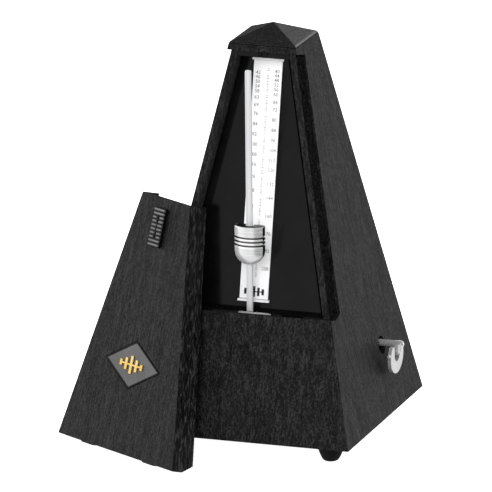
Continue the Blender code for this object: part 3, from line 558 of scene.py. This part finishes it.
def add_number(bm, number, x, y):
    """A printed number, centred on a point of the scale."""
    text = bpy.data.curves.new("number", "FONT")
    text.body = str(number)
    text.size = DIGIT_H / DIGIT_SHARE
    text.align_x = "CENTER"
    text.align_y = "CENTER"
    text.extrude = INK_T / 2
    text.offset = 0.02
    text.resolution_u = 3
    made = add_object("number", text)
    bpy.context.view_layer.update()
    evaluated = made.evaluated_get(bpy.context.evaluated_depsgraph_get())
    mesh = bpy.data.meshes.new_from_object(evaluated)
    mesh.transform(Matrix.Translation((x, y, INK_T / 2)))
    bm.from_mesh(mesh)
    bpy.data.objects.remove(made, do_unlink=True)
    bpy.data.meshes.remove(mesh)


def build_scale():
    """The scale's numbers, dashes and motif, with Y up along its front from its lower edge."""
    low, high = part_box("scale_plate")
    lean = math.atan((high.y - SCALE_T - low.y) / (high.z - low.z))
    edge = Matrix.Translation((CASE_X, low.y, low.z))
    place = edge @ Matrix.Rotation(math.pi / 2 - lean, 4, "X")
    numbers, ticks, motif = bmesh.new(), bmesh.new(), bmesh.new()
    for i, beats in enumerate(reversed(TEMPOS)):
        side = 1 if i % 2 == 0 else -1
        up = (PIVOT_Z + tempo_height(beats) - low.z) / math.cos(lean) / MM
        add_number(numbers, beats, side * COLUMN_X, up)
    length = (high.z - low.z) / math.cos(lean) / MM
    for i in range(int((length - DASH_START - DASH_MARGIN) / DASH_STEP)):
        if i % (WORD + WORD_GAP) < WORD:
            half_w = 0.25 + 0.13 * (i * 7 % 4)
            add_stroke(ticks, 0.35, DASH_START + i * DASH_STEP, half_w, 0.13)
    for i, half_h in enumerate(BARS):
        add_stroke(motif, (i - len(BARS) // 2) * BAR_PITCH, BARS_Y, BAR_HALF, half_h)
    add_stroke(motif, 0.0, BARS_Y, *CROSS_BAR)
    piece("scale_numbers", numbers, "ink", "case", place, smooth=False)
    piece("scale_ticks", ticks, "ink", "case", place, smooth=False)
    piece("scale_motif", motif, "mark", "case", place, smooth=False)


# ---- sliding weight ----

# half length, and the height of the middle of its round lower end
WEIGHT_HALF, DOME_Z = 10.2, -2.75
# (distance down, inset) round its top edge, and (distance down, share of the depth) in a groove
TOP_EDGE = ((0.0, 0.5), (0.15, 0.2), (0.4, 0.04), (0.9, 0.0))
GROOVE_EDGE = ((0.0, 0.0), (0.1, 0.45), (0.22, 1.0), (0.72, 1.0), (0.84, 0.45), (0.94, 0.0))


def weight_section(z, width, steps=40):
    """The weight's outline at a height: a shallow round front, square shoulders, a flat back."""
    half_w, front, shoulder, back = WEIGHT
    rise, side = (front - shoulder) * width / half_w, shoulder * width / half_w
    radius = (width**2 + rise**2) / (2 * rise)
    reach = math.asin(width / radius)
    turns = [reach * (2 * i / steps - 1) for i in range(steps + 1)]
    ring = [(radius * math.sin(t), radius * (1 - math.cos(t)) - rise - side, z) for t in turns]
    return ring + [(width, back, z), (-width, back, z)]


def build_weight():
    """The weight's fine form, with a half-round lower end and turned grooves round it."""
    half_w, front, _, back = WEIGHT
    dome_h, least_square = WEIGHT_HALF + DOME_Z, 0.4
    turns = [math.radians(4.3 * i) for i in range(21)]
    levels = [(WEIGHT_HALF - down, inset) for down, inset in TOP_EDGE]
    for top in GROOVES:
        levels += [(top - down, GROOVE_DEPTH * share) for down, share in GROOVE_EDGE]
    levels += [(DOME_Z - dome_h * math.sin(t), 0.0) for t in turns]
    rings = []
    for z, inset in reversed(levels):
        below = max(0.0, DOME_Z - z) * half_w / dome_h
        width = math.sqrt(max(half_w**2 - below**2, least_square)) - inset
        rings.append(weight_section(z, width))
    # the rod's slot, open at the back and cut well past both ends
    slot_w, slot_front, slot_half = ROD_HALF / MM + 0.3, -0.9, 20
    slot = block((-slot_w, slot_front, -slot_half), (slot_w, back + 1, slot_half))
    place = Matrix.Translation(middle("sliding_weight") + Vector((0, (front - back) / 2, 0)) * MM)
    body = carved(loft(rings), slot)
    made = piece("weight_body", body, "weight", "weight", place, sharp=50)
    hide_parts("sliding_weight")


# ---- cover's grip and badge ----


def build_grip():
    """The grip: a block with ribs, the middle ones split by a gap that widens up and down."""
    half_w, half_h, front, back = 3.9, 9.9, -1.35, 1.35
    ribs_in_all, rib_rise, rib_round, rib_inset = 10, 0.85, 0.2, 0.12
    pitch = 2 * half_h / ribs_in_all
    place = Matrix.Translation(middle("lid_grip")) @ LID_TURN
    body = block((-half_w, front + rib_rise, -half_h), (half_w, back, half_h))
    bmesh.ops.bevel(body, geom=body.edges[:], offset=0.2, segments=2, affect="EDGES")
    made = piece("grip_body", body, "grip", "lid", place)
    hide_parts("lid_grip")
    # a rib's outline, as (y, z) from its middle
    top, foot = front + rib_round, front + rib_rise + 0.1
    turns = [math.radians(30 * k) for k in range(1, 6)]
    outline = [(foot, -0.55), (top, -0.5)]
    outline += [(top - rib_round * math.sin(t), -0.45 * math.cos(t)) for t in turns]
    outline += [(top, 0.5), (foot, 0.55)]
    ribs = bmesh.new()
    for row in range(ribs_in_all):
        z = half_h - pitch * (row + 0.45)
        from_middle = abs(row - (ribs_in_all - 1) / 2)
        gap = 0.35 + 0.32 * from_middle
        split = from_middle < 3
        spans = [(-half_w, -gap), (gap, half_w)] if split else [(-half_w, half_w)]
        for left, right in spans:
            ends = (left + rib_inset, right - rib_inset)
            loft([[(x, y, z + up) for y, up in outline] for x in ends], ribs)
    piece("grip_ribs", ribs, "rib", "lid", place)


def diamond(x, half_w, half_h):
    return [(x - half_w, 0), (x, -half_h), (x + half_w, 0), (x, half_h)]


def build_badge():
    """The badge: a grey face in a black rim, whose extra width at its left is painted shade."""
    half_w, half_h, shade_shift = 21.2, 12.2, 0.45
    place = Matrix.Translation(middle("lid_badge")) @ LID_TURN
    rim = slab(diamond(0, half_w, half_h), -0.12, 0.3)
    made = piece("badge_rim", rim, "rim", "lid", place, smooth=False)
    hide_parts("lid_badge")
    # the face sits right of the rim's middle, so the black rim shows wider at the left: painted
    # shade
    face = slab(diamond(shade_shift, half_w - 1.7, half_h - 1.0), -0.3, -0.05)
    bmesh.ops.bevel(face, geom=face.edges[:], offset=0.1, segments=2, affect="EDGES")
    piece("badge_face", face, "badge", "lid", place)


# ---- feet ----

# (height from the case's lower face, radius)
FOOT_PROFILE = (
    (-12.5, 2.6), (-12.35, 3.2), (-12.0, 3.8), (-11.3, 4.4), (-10.2, 5.0), (-8.8, 5.6),
    (-7.2, 6.2), (-5.6, 6.8), (-4.2, 7.3), (-3.0, 7.65), (-2.0, 7.8), (-0.6, 7.8), (-0.3, 7.7),
)


def build_feet():
    for corner in ("front_left", "front_right", "rear_left", "rear_right"):
        spot = middle(f"foot_{corner}")
        place = Matrix.Translation((spot.x, spot.y, FOOT_H))
        foot = turned(FOOT_PROFILE)
        made = piece(f"rubber_foot_{corner}", foot, "rubber", "case", place)
        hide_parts(f"foot_{corner}")


build_scale()
build_weight()
build_grip()
build_badge()
build_feet()


# ---- stage ----


def build_floor():
    """A pale floor, just under the feet and left out of reflections and of diffuse light."""
    mesh = bpy.data.meshes.new("floor")
    bm = bmesh.new()
    bmesh.ops.create_circle(bm, cap_ends=True, segments=64, radius=4.0)
    bm.to_mesh(mesh)
    bm.free()
    floor = add_object("floor", mesh)
    floor.location.z = -0.2 * MM
    floor.visible_glossy = False
    floor.visible_diffuse = False
    s = Shader("floor_white")
    s.set(
        Base_Color=s.ramp(s.noise(4, detail=2), (0.3, 0.80), (0.7, 0.83)),
        Roughness=0.9,
        Emission_Color=(1, 1, 1, 1),
        Emission_Strength=0.94,
    )
    mesh.materials.append(s.material)


CAMERA_LEVEL, DIFFUSE_LEVEL, REFLECTED_LEVEL = 1.0, 0.75, 0.85
# for reflections only: a direction, the cosines from it where a change starts and ends, and what
# the level is multiplied by at its end
REFLECTED = (
    ((0.0, 0.0, 1.0), 0.30, 0.72, 0.08),
    ((0.87, -0.50, 0.0), 0.72, 0.77, 0.12),
    ((-0.32, -0.94, 0.14), 0.80, 0.99, 0.75),
    ((-0.41, 0.91, -0.04), 0.86, 0.95, 0.12),
    ((-0.01, 0.91, 0.41), 0.88, 0.96, 1.7),
    ((0.32, 0.91, -0.27), 0.93, 0.98, 0.75),
    ((0.74, -0.62, -0.27), 0.92, 0.96, 0.4),
)


def build_world():
    """Even light for matt surfaces, and a softly shaped surround for what is reflected."""
    world = bpy.data.worlds.new("studio")
    world.use_nodes = True
    bpy.context.scene.world = world
    world.node_tree.nodes.clear()
    tree = Nodes(world.node_tree)

    def choose(flag, otherwise, chosen):
        made = tree.node("ShaderNodeMix", {"data_type": "FLOAT"})
        for number, value in ((0, flag), (2, otherwise), (3, chosen)):
            tree.feed(made.inputs[number], value)
        return made.outputs[0]

    towards = tree.node("ShaderNodeTexCoord").outputs["Generated"]
    level = REFLECTED_LEVEL
    for direction, start, end, share in REFLECTED:
        fall = tree.node(
            "ShaderNodeMapRange", {"interpolation_type": "SMOOTHSTEP"},
            Value=tree.dot(towards, Vector(direction).normalized()),
            From_Min=start, From_Max=end, To_Min=1.0, To_Max=share,
        )
        level = tree.math("MULTIPLY", level, fall.outputs["Result"])
    ray = tree.node("ShaderNodeLightPath").outputs
    indirect = choose(ray["Is Diffuse Ray"], level, DIFFUSE_LEVEL)
    strength = choose(ray["Is Camera Ray"], indirect, CAMERA_LEVEL)
    background = tree.node("ShaderNodeBackground", Color=(1, 1, 1, 1), Strength=strength)
    tree.node("ShaderNodeOutputWorld", Surface=background.outputs[0])


# name, place, size and power of each large soft light, and the point they all face
LIGHTS = (
    ("left_panel", (-1.3, -0.5, 0.6), 1.1, 23.0),
    ("right_panel", (1.4, 0.5, 0.7), 1.1, 22.5),
    ("front_panel", (0.2, -1.6, 0.9), 1.2, 17.0),
)
LIT_POINT = Vector((0, 0, 0.1))


def build_lights():
    """Large soft lights at the left, right and front, which don't show in reflections."""
    for name, place, size, power in LIGHTS:
        data = bpy.data.lights.new(name, "AREA")
        data.size = size
        data.energy = power
        lamp = add_object(name, data)
        lamp.location = place
        lamp.rotation_euler = (LIT_POINT - Vector(place)).to_track_quat("-Z", "Y").to_euler()
        lamp.visible_glossy = False


def build_camera():
    az, el, roll = (math.radians(a) for a in (AZIMUTH, ELEVATION, ROLL))
    back = Vector((math.sin(az) * math.cos(el), -math.cos(az) * math.cos(el), math.sin(el)))
    right = Vector((math.cos(az), math.sin(az), 0))
    up = back.cross(right)
    right, up = (
        right * math.cos(roll) + up * math.sin(roll),
        up * math.cos(roll) - right * math.sin(roll),
    )
    data = bpy.data.cameras.new("camera")
    data.lens = LENS
    data.sensor_width = SENSOR
    data.clip_start, data.clip_end = 0.1, 50.0
    camera = add_object("camera", data)
    turn = Matrix((right, up, back)).transposed().to_4x4()
    camera.matrix_world = Matrix.Translation(AIM + back * DISTANCE) @ turn
    bpy.context.scene.camera = camera


build_floor()
build_world()
build_lights()
build_camera()
bpy.context.scene.view_settings.view_transform = "Standard"


def plain(box):
    return [list(corner) for corner in box]
